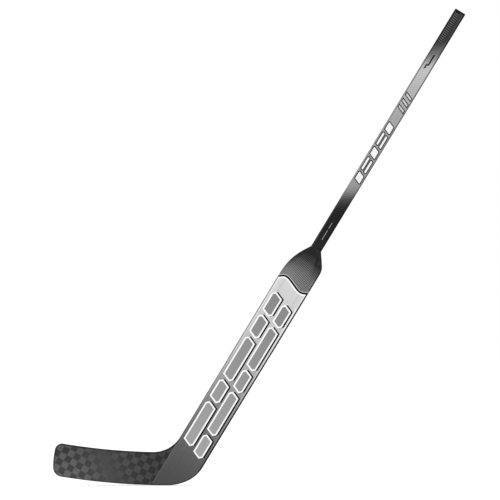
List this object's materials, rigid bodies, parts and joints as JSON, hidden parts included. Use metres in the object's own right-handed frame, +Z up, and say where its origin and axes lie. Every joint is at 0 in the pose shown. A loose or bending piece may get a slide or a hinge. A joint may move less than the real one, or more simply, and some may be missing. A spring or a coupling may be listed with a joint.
{
  "type": "hockey goalie stick",
  "caption": "Composite ice hockey goalie stick: a wide flat paddle with a curved woven blade at the heel, a ribbed shoulder grip and a hollow shaft closed by a pull-out butt plug.",
  "frame": {"origin": "hand point on the shaft's centre line, 51.5 mm above the collar where the shoulder meets the shaft", "axes": "+X to the right as seen from the front face, +Y from the front face to the back face, +Z up, with the sole on a level line and the shaft leaning 31.3 degrees from upright towards +X"},
  "size_m": [1.0452, 0.0305, 1.2081],
  "materials": {
    "shaft_paint": "satin",
    "plug_rubber": "matte",
    "ribbed_grip": "satin",
    "paddle_paint": "satin",
    "edge_paint": "satin",
    "woven_blade": "satin",
    "bare_composite": "satin",
    "foam_core": "matte"
  },
  "bodies": {
    "stick": {"shaft_tube": "shaft_paint", "shaft_tenon": "bare_composite", "shoulder_block": "foam_core", "shoulder_front_grip": "ribbed_grip", "shoulder_back_grip": "ribbed_grip", "paddle_front_skin": "paddle_paint", "paddle_back_skin": "paddle_paint", "paddle_core_leading": "foam_core", "paddle_core_trailing": "foam_core", "paddle_spine": "bare_composite", "leading_edge_rail": "edge_paint", "trailing_edge_rail": "edge_paint", "heel_tenon": "bare_composite", "blade_front_skin": "woven_blade", "blade_back_skin": "woven_blade", "blade_edge_rail": "woven_blade", "blade_core_upper": "foam_core", "blade_core_lower": "foam_core", "blade_spine": "bare_composite"},
    "plug": {"end_plug": "plug_rubber"}
  },
  "joints": [
    {"name": "plug_pull", "type": "slide", "parent": "stick", "child": "plug", "axis": [0.5195, 0, 0.8545], "range_m": [0, 0.06]}
  ]
}
